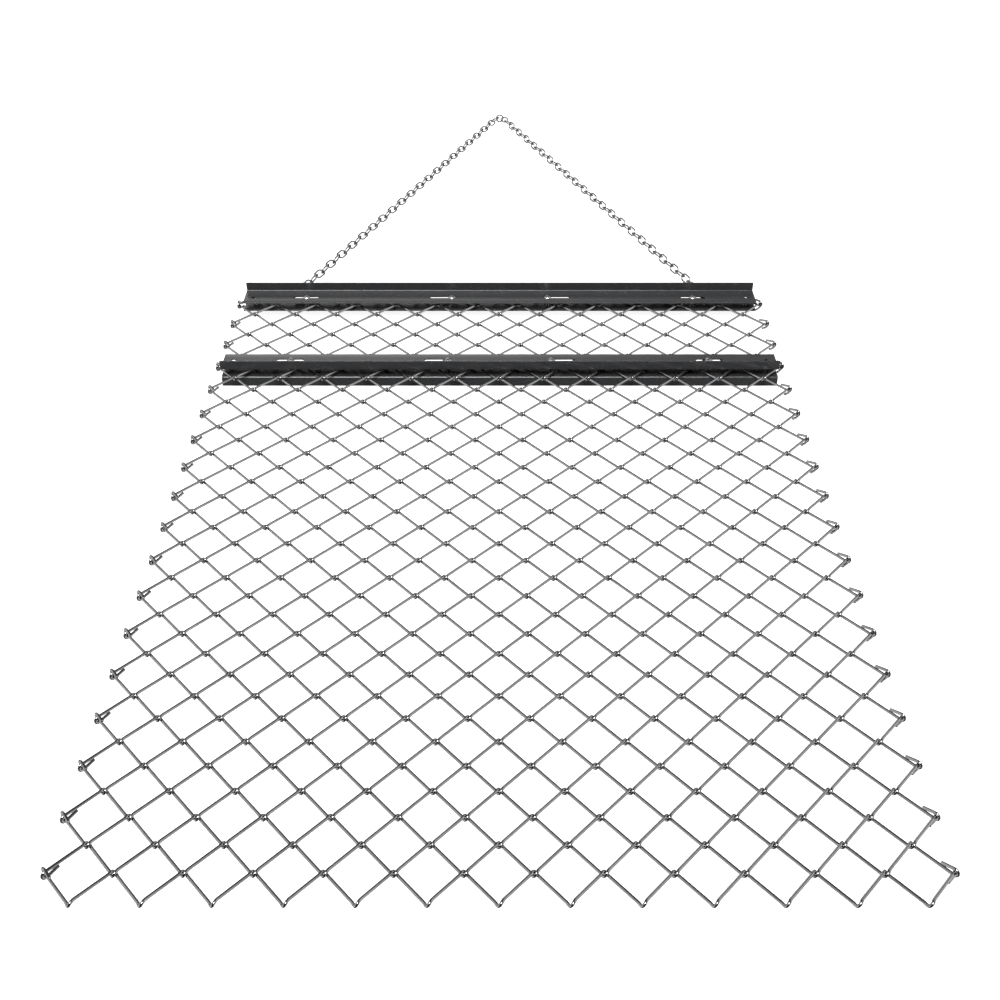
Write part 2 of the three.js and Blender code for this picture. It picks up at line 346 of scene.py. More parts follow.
def zinc_material(name, base, dull, roughness):
    """Zinc: metal with a faint mottle, duller patches and a fine grain in gloss and surface."""
    material, n = new_material(name)
    mottle = n.noise(MOTTLE_SCALE, 4.0, 0.6)
    patch = n.noise(PATCH_SCALE, 2.0)
    grain = n.noise(GRAIN_SCALE, 2.0)
    dullness = (mottle * 0.6 + patch * 0.6 - 0.1).step(0.35, 0.75)
    colour = n.mix(dullness, base, dull)
    height = grain + mottle * 0.6
    bump = n.add("ShaderNodeBump", {}, Strength=0.12, Distance=BUMP_DEPTH, Height=height)
    shader = n.add(
        "ShaderNodeBsdfPrincipled",
        {},
        Base_Color=colour,
        Roughness=dullness * 0.10 + roughness + grain * 0.04,
        Metallic=1.0,
        Normal=bump,
    )
    n.finish(shader)
    return material


def coating_material(name, base, dust_and_sheen_colour):
    """Dark powder coat: fine orange-peel bump, and random patches slightly greyer and rougher,
    which stand partly for settled dust and partly for a painted sheen.
    """
    material, n = new_material(name)
    peel = n.noise(PEEL_SCALE, 2.0)
    # Noise mask of the lighter, rougher patches: settled dust, and also a painted sheen in the
    # lighter colour
    dust_and_sheen_mask = n.noise(DUST_AND_SHEEN_SCALE, 5.0, 0.65).step(0.45, 0.75)
    colour = n.mix(dust_and_sheen_mask, base, dust_and_sheen_colour)
    bump = n.add("ShaderNodeBump", {}, Strength=0.25, Distance=BUMP_DEPTH, Height=peel)
    shader = n.add(
        "ShaderNodeBsdfPrincipled",
        {},
        Base_Color=colour,
        Roughness=peel * 0.03 + dust_and_sheen_mask * 0.02 + COAT_ROUGHNESS,
        Normal=bump,
        Specular_IOR_Level=COAT_GLOSS,
    )
    n.finish(shader)
    return material


# Sizes and colours a user would change


class HarrowWireSettings(bpy.types.PropertyGroup):
    diameter: bpy.props.FloatProperty(
        name="Wire diameter", description="Thickness of the mat wire",
        default=0.0062, unit="LENGTH")
    layer: bpy.props.FloatProperty(
        name="Layer height", description="Height of the upper legs over the middle of the mat",
        default=0.0036, unit="LENGTH")
    tilt: bpy.props.FloatProperty(
        name="Leg tilt", description="How far peaks stand lower and valleys taller than the layers",
        default=0.0012, unit="LENGTH")
    lean: bpy.props.FloatProperty(
        name="Leg lean", description="How far beside its knuckle a leg meets the row",
        default=0.0030, unit="LENGTH")
    peak_reach: bpy.props.FloatProperty(
        name="Peak reach", description="How far a peak reaches past its row",
        default=0.0028, unit="LENGTH")
    valley_reach: bpy.props.FloatProperty(
        name="Valley reach", description="How far a valley reaches past its row",
        default=0.0046, unit="LENGTH")
    hook: bpy.props.FloatProperty(
        name="End hook radius", description="Radius of the upright half circle at a wire's end",
        default=0.0069, unit="LENGTH")
    even_tail: bpy.props.FloatProperty(
        name="Even tail", description="Folded-back end of the even wires",
        default=0.024, unit="LENGTH")
    odd_tail: bpy.props.FloatProperty(
        name="Odd tail", description="Folded-back end of the odd wires",
        default=0.017, unit="LENGTH")
    colour: bpy.props.FloatVectorProperty(
        name="Wire colour", description="Bright zinc on the mat wires", subtype="COLOR", size=3,
        default=(0.43, 0.43, 0.44))


class HarrowBarSettings(bpy.types.PropertyGroup):
    sheet: bpy.props.FloatProperty(
        name="Sheet", description="Thickness of the bent angle", default=SHEET, unit="LENGTH")
    bend: bpy.props.FloatProperty(
        name="Bend radius", description="Outer radius of the bend", default=0.005, unit="LENGTH")
    colour: bpy.props.FloatVectorProperty(
        name="Coating colour", description="Dark powder coat", subtype="COLOR", size=3,
        default=(0.036, 0.037, 0.039))


class HarrowChainSettings(bpy.types.PropertyGroup):
    wire: bpy.props.FloatProperty(
        name="Link wire", description="Thickness of the link wire", default=0.005, unit="LENGTH")
    width: bpy.props.FloatProperty(
        name="Link width", description="Outer width of a link", default=0.026, unit="LENGTH")
    pitch: bpy.props.FloatProperty(
        name="Link inner length", description="Inner length of a link",
        default=0.0352, unit="LENGTH")
    colour: bpy.props.FloatVectorProperty(
        name="Chain colour", description="Zinc on the chain", subtype="COLOR", size=3,
        default=(0.40, 0.40, 0.41))


class HarrowStageSettings(bpy.types.PropertyGroup):
    floor: bpy.props.FloatVectorProperty(
        name="Floor colour", description="Pale floor", subtype="COLOR", size=3,
        default=(0.86, 0.86, 0.86))
    key: bpy.props.FloatProperty(
        name="Key light", description="Strength of the soft light above the camera", default=3.0)


# Mat wires

KNUCKLE_EASE = 0.0058
LEG_HANDLE = 0.0061
CREST_HANDLE = 0.0066
CREST_DIP = math.radians(58)
KNUCKLE_POINTS = 6
HOOK_POINTS = 12
WIRE_SIDES = 12
BAR_ROWS = (29, 35)
BAR_TAIL = 0.015
END_CURL = math.radians(14)


def bezier(points, count):
    """Cubic curve: (1-t)^3 A + 3 (1-t)^2 t B + 3 (1-t) t^2 C + t^3 D at evenly spaced t."""
    a, b, c, d = (np.asarray(p, float) for p in points)
    t = np.linspace(0.0, 1.0, count)[:, None]
    return (1 - t) ** 3 * a + 3 * (1 - t) ** 2 * t * b + 3 * (1 - t) * t**2 * c + t**3 * d


def knuckle_curve(settings, height, next_height, reach):
    """Middle line of a peak at the origin, from the upper leg on its left to the lower one.

    Each half is a cubic curve. It leaves its leg a little before the row, with a handle along the
    leg, and meets the other half past the row by the reach, dipping steeply. The other half is the
    same turned half round the Y axis. The leg comes from the next height, one row nearer.
    """
    leg = unit(np.array([ROW - 2 * settings.lean, ROW, height - next_height]))
    start = np.array([-settings.lean, 0.0, height]) - leg * (KNUCKLE_EASE / leg[1])
    crest = np.array([0.0, reach, 0.0])
    dip = np.array([math.cos(CREST_DIP), 0.0, -math.sin(CREST_DIP)])
    handles = [start + leg * LEG_HANDLE, crest - dip * CREST_HANDLE]
    half = bezier([start, *handles, crest], KNUCKLE_POINTS)
    return np.concatenate([half, half[-2::-1] * [-1.0, 1.0, -1.0]])


def end_curve(settings, leg, tail, curl):
    """Right end of a wire at a peak: an upright half circle round the neighbour, then the tail.

    The arc is C + R (leg sin t + up cos t) for t from 0 to pi + curl, with its centre C under the
    leg, and the tail runs back from it along its tangent, under the leg.
    """
    radius = settings.hook
    centre = np.array([-settings.lean, 0.0, settings.layer - radius])
    t = np.linspace(0.0, np.pi + curl, HOOK_POINTS)[:, None]
    arc = centre + radius * (leg * np.sin(t) + UP * np.cos(t))
    back = UP * math.sin(curl) - leg * math.cos(curl)
    return np.concatenate([arc, [arc[-1] + back * tail]])


def wire_path(number, settings):
    """Middle line of one mat wire, from its left tail to its right tail.

    Straight legs run from knuckle to knuckle, rising ones in the upper layer and falling ones in
    the lower. The valleys are taller than the peaks that they go round, so each leg tilts a little.
    A valley is a peak turned half round the X axis, and a left end is a right end turned half round
    the Y axis. The tails beside the clamp bars have a length of their own and no curl.
    """
    odd = number % 2 == 1
    near, far = ROW_ZERO + (number - 1) * ROW, ROW_ZERO + number * ROW
    leg = unit(np.array([ROW - 2 * settings.lean, ROW, 0.0]))
    tail, curl = settings.odd_tail if odd else settings.even_tail, END_CURL
    if number - (not odd) in BAR_ROWS:
        tail, curl = BAR_TAIL, 0.0
    low, high = settings.layer - settings.tilt, settings.layer + settings.tilt
    over = knuckle_curve(settings, low, high, settings.peak_reach)
    under = knuckle_curve(settings, high, low, settings.valley_reach)
    end = end_curve(settings, leg, tail, curl)
    last = 2 * CELLS_ACROSS
    pieces = []
    for i in range(last + 1):
        peak = (i % 2 == 0) == odd
        at = np.array([(i - CELLS_ACROSS) * ROW, far if peak else near, MAT_Z])
        curve = over if peak else under
        if i == 0:
            curve = end[::-1] * [-1.0, 1.0, -1.0]
        elif i == last:
            curve = end
        pieces.append(at + curve * ([1.0, 1.0, 1.0] if peak else [1.0, -1.0, -1.0]))
    return np.concatenate(pieces)


class HARROW_OT_wires(bpy.types.Operator):
    """Rounds every mat wire along its knuckled path"""

    bl_idname = "harrow.wires"
    bl_label = "Mat wires"

    def execute(self, context):
        settings = context.scene.harrow_wires
        zinc = zinc_material("mat_wire_zinc", tuple(settings.colour), WIRE_DULL, WIRE_ROUGHNESS)
        for number in range(1, WIRES + 1):
            path = wire_path(number, settings)
            vertices, faces = tube(path, settings.diameter / 2, WIRE_SIDES)
            piece = make_object("mat_wire_%02d" % number, vertices, faces, zinc)
            stand_for(piece, "wire_%02d" % number)
        return {"FINISHED"}


# Clamp bars

BAR_HALF = 0.745
FLANGE_DEPTH = 0.080
LEG_HEIGHT = 0.028
BOLT_LINE = 0.047
BAND = (0.033, 0.061)

# Slots as (middle, length) along the bar, and end holes as (distance from the middle, diameter)
SLOTS = ((-0.565, 0.074), (-0.168, 0.072), (0.168, 0.072), (0.565, 0.074))
SLOT_WIDTH = 0.0136
END_HOLE = (0.718, 0.013)
HOLE_MARGIN = 0.006
EDGE_ROUND = 0.3
BAR_SHARP = math.radians(50)

# Places of the bolts along the bars
BOLTS = (-0.563, -0.1395, 0.1395, 0.563)


def bar_profile(sheet, bend):
    """Outline of the angle as two open runs of (y, z), with y = 0 on its face, z = 0 on its inside.

    The front run goes from the band's front limit round the bend and the upright leg to the same
    limit on the outside, and the rear run from the band's rear limit round the free edge.
    """
    corner = sheet * EDGE_ROUND

    def arc(cy, cz, r, start, stop, count):
        a = np.radians(np.linspace(start, stop, count))
        return np.stack([cy + r * np.cos(a), cz + r * np.sin(a)], -1)

    inner = bend - sheet
    front = np.concatenate([
        [[-BAND[0], 0.0]],
        arc(-bend, bend, bend, -90, 0, 9),
        arc(-corner, LEG_HEIGHT - corner, corner, 0, 90, 5),
        arc(-sheet + corner, LEG_HEIGHT - corner, corner, 90, 180, 5),
        arc(-bend, bend, inner, 0, -90, 7),
        [[-BAND[0], sheet]],
    ])
    rear = np.concatenate([
        [[-BAND[1], sheet]],
        arc(-FLANGE_DEPTH + corner, sheet - corner, corner, 90, 180, 5),
        arc(-FLANGE_DEPTH + corner, corner, corner, 180, 270, 5),
        [[-BAND[1], 0.0]],
    ])
    return front, rear


def hole_cells():
    """Stretches of the flange band, each (start, stop, hole centre, slot run, hole radius)."""
    cells = []
    holes = [(x, length - SLOT_WIDTH, SLOT_WIDTH / 2) for x, length in SLOTS]
    holes += [(x, 0.0, END_HOLE[1] / 2) for x in (-END_HOLE[0], END_HOLE[0])]
    for x, run, radius in sorted(holes):
        reach = run / 2 + radius + HOLE_MARGIN
        cells.append((x - reach, x + reach, x, run, radius))
    return cells


def cell_ring(x0, x1, y0, y1, long_count, short_count):
    """Points round a rectangle, counter-clockwise from its lower left corner."""
    u = np.linspace(0, 1, long_count + 1)[:-1]
    v = np.linspace(0, 1, short_count + 1)[:-1]
    bottom = np.stack([x0 + (x1 - x0) * u, np.full(long_count, y0)], -1)
    right = np.stack([np.full(short_count, x1), y0 + (y1 - y0) * v], -1)
    top = np.stack([x1 - (x1 - x0) * u, np.full(long_count, y1)], -1)
    left = np.stack([np.full(short_count, x0), y1 - (y1 - y0) * v], -1)
    return np.concatenate([bottom, right, top, left])


def slot_points(ring, x, run, radius, y):
    """Each rectangle point drawn to the slot: nearest point of its middle line, plus the radius."""
    spine = np.stack([np.clip(ring[:, 0], x - run / 2, x + run / 2), np.full(len(ring), y)], -1)
    return spine + radius * unit(ring - spine)


def bar_parts(settings):
    """Vertices and faces of one angle in its own axes: X along it, Y = 0 on its face, Z up.

    The two open profile runs are swept along X. Between them lie the flat bands above and below,
    plain between the holes and drawn in to the hole's rim in each hole's cell. A wall joins the
    upper and lower rims, and a flat cap closes each end.
    """
    sheet = settings.sheet
    front, rear = bar_profile(sheet, settings.bend)
    long_count, short_count = 14, 8
    stations = [-BAR_HALF]
    for x0, x1, *_ in hole_cells():
        stations += list(np.linspace(x0, x1, long_count + 1))
    stations.append(BAR_HALF)
    stations = np.array(stations)
    parts = []
    for run in (front, rear):
        grid = np.empty((len(stations), len(run), 3))
        grid[..., 0] = stations[:, None]
        grid[..., 1:] = run[None]
        faces = grid_faces(len(stations), len(run), wrap_columns=False)
        parts.append((grid.reshape(-1, 3), [faces]))
    rows = np.linspace(-BAND[1], -BAND[0], short_count + 1)
    cells = hole_cells()
    plain = list(zip([-BAR_HALF] + [c[1] for c in cells], [c[0] for c in cells] + [BAR_HALF]))
    for height, flip in ((0.0, True), (sheet, False)):
        for x0, x1 in plain:
            grid = np.empty((2, len(rows), 3))
            grid[..., 0] = np.array([x0, x1])[:, None]
            grid[..., 1] = rows[None]
            grid[..., 2] = height
            faces = grid_faces(2, len(rows), wrap_columns=False)
            parts.append((grid.reshape(-1, 3), [faces if flip else faces[:, ::-1]]))
        for x0, x1, x, run, radius in cells:
            ring = cell_ring(x0, x1, rows[0], rows[-1], long_count, short_count)
            rim = slot_points(ring, x, run, radius, -BOLT_LINE)
            grid = np.empty((2, len(ring), 3))
            grid[0, :, :2], grid[1, :, :2] = ring, rim
            grid[..., 2] = height
            faces = grid_faces(2, len(ring))
            parts.append((grid.reshape(-1, 3), [faces[:, ::-1] if flip else faces]))
    for x0, x1, x, run, radius in cells:
        ring = cell_ring(x0, x1, rows[0], rows[-1], long_count, short_count)
        rim = slot_points(ring, x, run, radius, -BOLT_LINE)
        grid = np.empty((2, len(rim), 3))
        grid[..., :2] = rim[None]
        grid[0, :, 2], grid[1, :, 2] = 0.0, sheet
        parts.append((grid.reshape(-1, 3), [grid_faces(2, len(rim))[:, ::-1]]))
    above = np.stack([rows[::-1][1:-1], np.full(len(rows) - 2, sheet)], -1)
    below = np.stack([rows[1:-1], np.zeros(len(rows) - 2)], -1)
    outline = np.concatenate([front, above, rear, below])
    for x, flip in ((-BAR_HALF, False), (BAR_HALF, True)):
        cap = np.concatenate([np.full((len(outline), 1), x), outline], 1)
        face = np.arange(len(outline))[None]
        parts.append((cap, [face[:, ::-1] if flip else face]))
    return merged(parts)


class HARROW_OT_bars(bpy.types.Operator):
    """Builds the four bent angles with their slots"""

    bl_idname = "harrow.bars"
    bl_label = "Clamp bars"

    def execute(self, context):
        settings = context.scene.harrow_bars
        coat = coating_material("dark_powder_coat", tuple(settings.colour), COAT_DUST_AND_SHEEN)
        vertices, faces = bar_parts(settings)
        inside = MAT_Z - FLANGE_IN
        for name, face, turn, over in (
            ("front_upper_angle", FRONT_FACE, 1, 1),
            ("front_lower_angle", FRONT_FACE, 1, -1),
            ("rear_upper_angle", REAR_FACE, -1, 1),
            ("rear_lower_angle", REAR_FACE, -1, -1),
        ):
            placed = vertices * [turn, turn, 1] + [0.0, 0.0, inside]
            placed = placed * [over, 1, over] + [0.0, face, MAT_Z]
            piece = make_object(name.replace("angle", "bar"), placed, faces, coat)
            tidy_mesh(piece)
            piece.data.set_sharp_from_angle(angle=BAR_SHARP)
            stand_for(piece, name)
        return {"FINISHED"}


# Clamp bolts

SHANK = 0.0050
NUT_FLATS = 0.017
WASHER = 0.0105
WASHER_T = 0.002
DOME = 0.0104
DOME_RIM = 0.0009
DOME_H = 0.0048
NUT_H = 0.0084
NUT_FACE = 0.92
NUT_SEAT = 0.95
FACE_BEVEL = 0.0012
SEAT_BEVEL = 0.0010
SOFT_EDGE = 0.0004
TIP = 0.006
TIP_WIDTH = 0.78
THREAD_STEP = 0.00075
THREAD_DEPTH = 0.0005
THREAD_STOP = 0.004
BOLT_PLAY = 0.0003
BOLT_SHARP = math.radians(35)

# Every bolt is tightened to another angle, in radians: the first, each next, and the rear bar's
FIRST_TURN = 0.3
NEXT_TURN = 0.7
REAR_TURN = 0.4


def lathe(profile, sides, hexes=None):
    """Profile of (radius, height) turned about Z; where hexes is set the radius follows a hexagon.

    Hexagon radius at angle a is half the flats over the cosine of a folded into +-30 degrees. A
    row's radius is the smaller of that and its own profile radius, which chamfers the corners.
    """
    profile = np.asarray(profile, float)
    angle = 2 * np.pi * np.arange(sides) / sides
    folded = (angle + np.pi / 6) % (np.pi / 3) - np.pi / 6
    radius = np.repeat(profile[:, :1], sides, 1)
    if hexes is not None:
        edge = (NUT_FLATS / 2) / np.cos(folded)
        mask = np.asarray(hexes, bool)[:, None]
        radius = np.where(mask, np.minimum(radius, edge[None]), radius)
    points = np.empty((len(profile), sides, 3))
    points[..., 0] = radius * np.cos(angle)
    points[..., 1] = radius * np.sin(angle)
    points[..., 2] = profile[:, 1:2]
    faces = grid_faces(len(profile), sides)
    return points.reshape(-1, 3), [faces]


def bolt_parts():
    """One clamp bolt about the Z axis, from its thread tip to its domed head, as turned profiles.

    The dome is a part of a sphere of radius R = (a^2 + h^2) / 2 h over a rim of radius a, where h
    is its height. The thread is a zigzag of crests and roots, a step apart.
    """
    gap = MAT_Z - FLANGE_IN + SHEET + BOLT_PLAY
    sphere = (DOME**2 + DOME_H**2) / (2 * DOME_H)
    t = np.linspace(math.asin(DOME / sphere), 0.0, 9)
    dome = np.stack([sphere * np.sin(t), gap + DOME_RIM + DOME_H - sphere * (1 - np.cos(t))], -1)
    head = [(0.0, gap), (DOME - SOFT_EDGE, gap), (DOME, gap + SOFT_EDGE), *dome]
    nut_top = -gap - WASHER_T
    low = nut_top - NUT_H
    flat = NUT_FLATS / 2
    corner = flat / math.cos(math.pi / 6)
    nut = [(0.0, low), (SHANK, low), (flat * NUT_FACE, low), (corner, low + FACE_BEVEL),
           (corner, nut_top - SEAT_BEVEL), (flat * NUT_SEAT, nut_top), (0.0, nut_top)]
    hexes = [False, True, True, True, True, True, False]
    rim = WASHER - SOFT_EDGE
    washer = [(0.0, nut_top), (rim, nut_top), (WASHER, nut_top + SOFT_EDGE),
              (WASHER, -gap - SOFT_EDGE), (rim, -gap), (0.0, -gap)]
    tip = low - TIP
    turns = np.arange(tip + FACE_BEVEL, gap - THREAD_STOP, THREAD_STEP)
    ridge = SHANK - THREAD_DEPTH * (np.arange(len(turns)) % 2)
    shank = [(0.0, tip), (SHANK * TIP_WIDTH, tip), *zip(ridge, turns), (SHANK, gap), (0.0, gap)]
    return [lathe(head, 36), lathe(nut, 36, hexes), lathe(washer, 32), lathe(shank, 20)]


class HARROW_OT_bolts(bpy.types.Operator):
    """Builds the clamp bolts with domed heads, washers, nuts and threads"""

    bl_idname = "harrow.bolts"
    bl_label = "Clamp bolts"

    def execute(self, context):
        plate = zinc_material("bolt_zinc_plate", PLATE_BRIGHT, PLATE_DULL, PLATE_ROUGHNESS)
        vertices, faces = merged(bolt_parts())
        for bar, line in (("front", FRONT_FACE - BOLT_LINE), ("rear", REAR_FACE + BOLT_LINE)):
            for i, x in enumerate(BOLTS):
                angle = FIRST_TURN + NEXT_TURN * i + (REAR_TURN if bar == "rear" else 0.0)
                c, s = math.cos(angle), math.sin(angle)
                turn = np.array([[c, -s, 0.0], [s, c, 0.0], [0.0, 0.0, 1.0]])
                placed = vertices @ turn.T + [x, line, MAT_Z]
                piece = make_object("%s_clamp_bolt_%d" % (bar, i + 1), placed, faces, plate)
                tidy_mesh(piece)
                piece.data.set_sharp_from_angle(angle=BOLT_SHARP)
                stand_for(piece, "%s_bolt_%d" % (bar, i + 1))
        return {"FINISHED"}


# Pull chain

SEGMENTS = (8, 8, 8, 9, 9)
ANCHOR_X = 0.5677
TWISTS = {"even": -23.0, "odd": 67.0, "last": 22.0}
WELD = 0.0004
PLAY = 0.0003
LINK_SIDES = 10
BEAD_SWELL = 0.00035
BEAD_SPREAD = 0.0022
RING_RADIUS = 0.0125
RING_POINTS = 48
RING_SIDES = 16

# Points of a link's straight side, as shares of half its length, closer together at the weld
STRAIGHT = np.array([0.7, 0.25, 0.12, 0.0, -0.12, -0.25, -0.7])

# Staples: rod, the heights of the two legs over the middle of the mat, corners and weld beads
STAPLE_ROD = 0.005
STAPLE_LOW = 0.0135
STAPLE_HIGH = 0.0305
STAPLE_BEND = 0.0035
STAPLE_ROOT = 0.001
STAPLE_SIDES = 14
STAPLE_BEAD = [(0.0, 0.0), (0.0044, 0.0), (0.0040, 0.0008), (0.0030, 0.0017), (0.0, 0.0024)]
STAPLE_BEAD_ROOT = 0.0002


def link_steps(pitch):
    """Distance of each link from the first: links of a segment touch, segments have play."""
    steps, first = [0.0], True
    for count in SEGMENTS:
        for i in range(count):
            if first:
                first = False
                continue
            steps.append(steps[-1] + (pitch - PLAY if i == 0 else pitch + WELD))
    return np.array(steps)


def link_ring(settings):
    """Stadium line of a link in its own plane, and the wire radius along it with its weld.

    Half circles of radius w at +-s, joined by straights. On the middle of one straight the radius
    grows by a bell curve, swell exp(-(x / spread)^2).
    """
    w = (settings.width - settings.wire) / 2
    s = (settings.pitch + settings.wire) / 2 - w
    a = np.linspace(-np.pi / 2, np.pi / 2, 9)
    right = np.stack([s + w * np.cos(a), w * np.sin(a)], -1)
    top = np.stack([STRAIGHT * s, np.full(len(STRAIGHT), w)], -1)
    ring = np.concatenate([right, top, -right, -top[[0, 3, 6]]])
    bell = BEAD_SWELL * np.exp(-((ring[:, 0] / BEAD_SPREAD) ** 2))
    bead = np.where(ring[:, 1] >= w * 0.999, bell, 0.0)
    return ring, settings.wire / 2 + bead


def strand_axes(side, steps, settings):
    """Start, direction and cross axes of a strand, worked out as the frame has them."""
    half = settings.wire * math.sqrt(math.pi) / 4
    eye = steps[-1] + settings.pitch / 2
    spread = ANCHOR_X - RING_RADIUS
    lean = math.asin(spread / (eye - half))
    contact = eye - half * (math.cos(lean) + math.sin(lean)) - PLAY
    sine = spread / contact
    cosine = math.sqrt(1 - sine * sine)
    start = np.array([side * ANCHOR_X, RING_Y - contact * cosine, CHAIN_Z])
    along = np.array([-side * sine, cosine, 0.0])
    across = np.array([-side * cosine, -sine, 0.0])
    return start, along, across


class HARROW_OT_chain(bpy.types.Operator):
    """Builds both strands of round-wire links, the hitch ring and the staples"""

    bl_idname = "harrow.chain"
    bl_label = "Pull chain"

    def execute(self, context):
        settings = context.scene.harrow_chain
        zinc = zinc_material("chain_zinc", tuple(settings.colour), CHAIN_DULL, CHAIN_ROUGHNESS)
        ring, radius = link_ring(settings)
        steps = link_steps(settings.pitch)
        for side, label in ((-1, "left"), (1, "right")):
            start, along, across = strand_axes(side, steps, settings)
            index = 0
            for segment, count in enumerate(SEGMENTS):
                links = []
                for _ in range(count):
                    kind = "last" if index == len(steps) - 1 else ("even", "odd")[index % 2]
                    angle = math.radians(-side * TWISTS[kind])
                    wide = across * math.cos(angle) + UP * math.sin(angle)
                    thick = np.cross(along, wide)
                    middle = start + along * steps[index]
                    weld_side = 1.0 if index % 4 < 2 else -1.0
                    path = middle + ring[:, :1] * along + weld_side * ring[:, 1:] * wide
                    links.append(tube(path, radius, LINK_SIDES, closed=True, up=thick))
                    index += 1
                vertices, faces = merged(links)
                name = "%s_pull_chain_%d" % (label, segment + 1)
                piece = make_object(name, vertices, faces, zinc)
                tidy_mesh(piece)
                stand_for(piece, "%s_chain_%d" % (label, segment + 1))
        a = np.linspace(0, 2 * np.pi, RING_POINTS + 1)[:-1]
        circle = np.stack([np.cos(a), np.zeros(RING_POINTS), np.sin(a)], -1)
        path = RING_RADIUS * circle + [0.0, RING_Y, CHAIN_Z]
        across = (0.0, 1.0, 0.0)
        vertices, faces = tube(path, settings.wire / 2, RING_SIDES, closed=True, up=across)
        piece = make_object("pull_ring", vertices, faces, zinc)
        tidy_mesh(piece)
        stand_for(piece, "hitch_ring")
        self.staples(settings, steps)
        return {"FINISHED"}

    def staples(self, settings, steps):
        """Rounded U of coated rod for each strand, with a weld bead at each foot.

        The rod runs out from the bar's leg, up and back in. Each corner is a cubic curve whose two
        handles meet in the corner itself.
        """
        coat = bpy.data.materials["dark_powder_coat"]
        half = STAPLE_ROD * math.sqrt(math.pi) / 4
        low, high = MAT_Z + STAPLE_LOW, MAT_Z + STAPLE_HIGH
        root = FRONT_FACE - STAPLE_ROOT
        for side, label in ((-1, "left"), (1, "right")):
            first, along, _ = strand_axes(side, steps, settings)
            back = settings.pitch / 2 - half * (along[1] + abs(along[0])) - PLAY
            x, y, _ = first - along * back
            bends = []
            for z, turn in ((low, STAPLE_BEND), (high, -STAPLE_BEND)):
                start, corner, stop = (x, y - STAPLE_BEND, z), (x, y, z), (x, y, z + turn)
                bends.append(bezier([start, corner, corner, stop], 8))
            path = np.concatenate([[[x, root, low]], bends[0], bends[1][::-1], [[x, root, high]]])
            parts = [tube(path, STAPLE_ROD / 2, STAPLE_SIDES, up=(1.0, 0.0, 0.0))]
            for z in (low, high):
                dome, blocks = lathe(STAPLE_BEAD, 16)
                parts.append((dome[:, [0, 2, 1]] + [x, FRONT_FACE - STAPLE_BEAD_ROOT, z], blocks))
            vertices, faces = merged(parts)
            piece = make_object("%s_chain_staple" % label, vertices, faces, coat)
            tidy_mesh(piece)
            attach(piece, "front_bar")


# Stage, camera and light

CAMERA_BACK = 3.384
CAMERA_UP = 1.7725
CAMERA_DOWN = 36.79
CAMERA_LENS = 45.94
CAMERA_SHIFT = (0.00025, -0.0005)
CAMERA_REACH = 60.0
KEY_FROM = (-0.10, -0.50, 0.86)
KEY_SPREAD = 30.0
FLOOR_HALF = 14.0
FLOOR_DROP = 0.0005
FLOOR_GLOW = 0.9

# The room that the metal sees: brightness of its parts, and where the smooth step at each of their
# edges starts and ends, in the parts of a unit direction
DARK_LEVEL = 0.02
SIDE_LEVEL = 0.85
SIDE_INNER = (0.15, 0.75)
SIDE_NEAR = (-0.8, -0.3)
SIDE_SLOPE = 0.45
SIDE_FAR = (0.35, 0.75)
BACK_LEVEL = 0.22
BACK_NEAR = (0.3, 0.9)
BACK_LOW = (0.3, 0.6)
FAR_LEVEL = 1.05
FAR_NEAR = (0.6, 0.8)
FAR_LOW = (-0.05, 0.15)
FAR_TOP = (0.48, 0.54)
FAR_ENDS = (0.28, 0.4)
FAR_FADE = (-0.08, 0.2)
FAR_LEFT = 1.2
FAR_DROP = 1.1


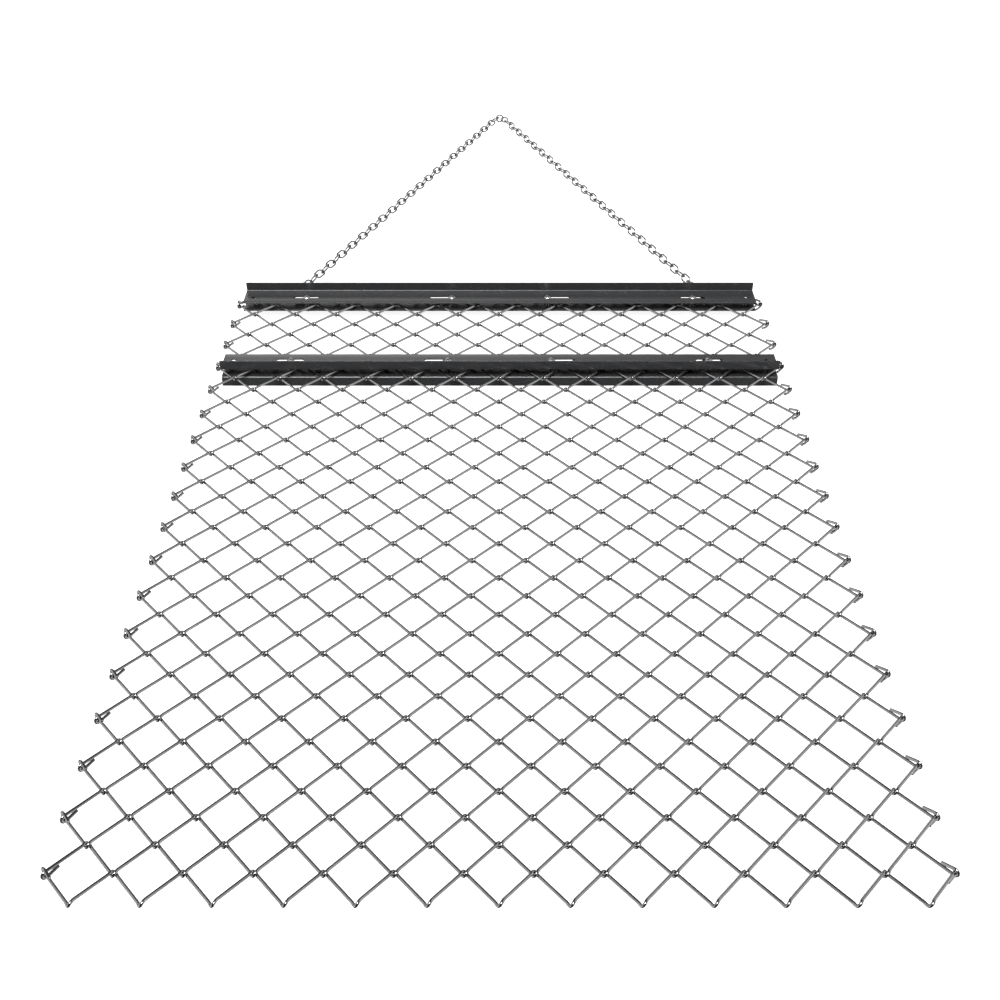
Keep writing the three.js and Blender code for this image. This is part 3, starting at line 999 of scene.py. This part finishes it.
class HARROW_OT_stage(bpy.types.Operator):
    """Sets the pale floor, the soft light and the camera"""

    bl_idname = "harrow.stage"
    bl_label = "Stage"

    def execute(self, context):
        scene = context.scene
        settings = scene.harrow_stage
        self.floor(settings)
        self.room(scene)
        self.sun("key", KEY_FROM, settings.key, KEY_SPREAD)
        data = bpy.data.cameras.new("view")
        data.sensor_fit = "HORIZONTAL"
        data.sensor_width = 36.0
        data.lens = CAMERA_LENS
        data.shift_x, data.shift_y = CAMERA_SHIFT
        data.clip_end = CAMERA_REACH
        view = bpy.data.objects.new("view", data)
        view.location = (0.0, FRONT_FACE - CAMERA_BACK, MAT_Z + CAMERA_UP)
        view.rotation_euler = (math.radians(90 - CAMERA_DOWN), 0.0, 0.0)
        scene.collection.objects.link(view)
        scene.camera = view
        scene.view_settings.view_transform = "Standard"
        return {"FINISHED"}

    def floor(self, settings):
        """A pale floor, white to the camera. Glossy rays pass it, so metal sees the room below."""
        material, n = new_material("pale_floor")
        paint = n.add("ShaderNodeBsdfDiffuse", {}, (*settings.floor, 1.0))
        glow = n.add("ShaderNodeEmission", {}, (1.0, 1.0, 1.0, 1.0), FLOOR_GLOW)
        white = n.add("ShaderNodeAddShader", {}, paint, glow)
        seen = n.blend((n.ray("Camera") + n.ray("Transmission")).clamp(), paint, white)
        n.finish(n.blend(n.ray("Glossy"), seen, n.add("ShaderNodeBsdfTransparent", {})))
        corners = np.array([[-1, -1, 0], [1, -1, 0], [1, 1, 0], [-1, 1, 0]])
        vertices = corners * FLOOR_HALF - UP * FLOOR_DROP
        ground = make_object("floor", vertices, [np.array([[0, 1, 2, 3]])], material, smooth=False)

    def room(self, scene):
        """White to the camera, and otherwise two side panels, a dim back wall and a far panel.

        Each part is a product of smooth steps of the direction's X, Y and Z. The side panels end
        along a slanting line towards the camera, and upright towards the back. The far panel is
        low, narrow and dimmer on the right. Overhead and behind the camera the room is dark.
        """
        world = bpy.data.worlds.new("soft_room")
        scene.world = world
        world.use_nodes = True
        n = Nodes(world.node_tree)
        x, y, z = n.split(n.add("ShaderNodeTexCoord", {}, output="Generated"))
        wide = x.absolute()
        near = (y - z * SIDE_SLOPE).step(*SIDE_NEAR)
        sides = wide.step(*SIDE_INNER) * near * (1.0 - y.step(*SIDE_FAR)) * SIDE_LEVEL
        back = y.step(*BACK_NEAR) * z.step(*BACK_LOW) * BACK_LEVEL
        far = y.step(*FAR_NEAR) * z.step(*FAR_LOW) * (1.0 - z.step(*FAR_TOP))
        far = far * (FAR_LEFT - x.step(*FAR_FADE) * FAR_DROP)
        far = far * (1.0 - wide.step(*FAR_ENDS)) * FAR_LEVEL
        seen = n.ray("Camera")
        strength = seen + (1.0 - seen) * (sides + back + far + DARK_LEVEL)
        shade = n.add("ShaderNodeBackground", {}, (1.0, 1.0, 1.0, 1.0), strength)
        n.finish(shade, "ShaderNodeOutputWorld")

    def sun(self, name, source, energy, spread):
        """A soft lamp of the given angular width that shines from the source direction."""
        lamp = bpy.data.lights.new(name, "SUN")
        lamp.energy = energy
        lamp.angle = math.radians(spread)
        light = bpy.data.objects.new(name, lamp)
        light.rotation_euler = Vector(source).to_track_quat("Z", "Y").to_euler()
        bpy.context.scene.collection.objects.link(light)


class HARROW_PT_panel(bpy.types.Panel):
    """Lists the harrow's builders and sizes"""

    bl_idname = "HARROW_PT_panel"
    bl_label = "Harrow"
    bl_space_type = "VIEW_3D"
    bl_region_type = "UI"
    bl_category = "Harrow"

    def draw(self, context):
        layout = self.layout
        for group, operator in GROUPS:
            settings = getattr(context.scene, group) if group else None
            if settings:
                for name in settings.__annotations__:
                    layout.prop(settings, name)
            layout.operator(operator)


GROUPS = (
    ("harrow_wires", "harrow.wires"),
    ("harrow_bars", "harrow.bars"),
    ("", "harrow.bolts"),
    ("harrow_chain", "harrow.chain"),
    ("harrow_stage", "harrow.stage"),
)
SETTINGS = {
    "harrow_wires": HarrowWireSettings,
    "harrow_bars": HarrowBarSettings,
    "harrow_chain": HarrowChainSettings,
    "harrow_stage": HarrowStageSettings,
}
CLASSES = (
    HarrowWireSettings,
    HarrowBarSettings,
    HarrowChainSettings,
    HarrowStageSettings,
    HARROW_OT_wires,
    HARROW_OT_bars,
    HARROW_OT_bolts,
    HARROW_OT_chain,
    HARROW_OT_stage,
    HARROW_PT_panel,
)


def register():
    for cls in CLASSES:
        bpy.utils.register_class(cls)
    for name, cls in SETTINGS.items():
        setattr(bpy.types.Scene, name, bpy.props.PointerProperty(type=cls))


def unregister():
    for name in SETTINGS:
        delattr(bpy.types.Scene, name)
    for cls in reversed(CLASSES):
        bpy.utils.unregister_class(cls)


def main():
    register()
    bpy.ops.harrow.wires()
    bpy.ops.harrow.bars()
    bpy.ops.harrow.bolts()
    bpy.ops.harrow.chain()
    bpy.ops.harrow.stage()


if __name__ == "__main__":
    main()
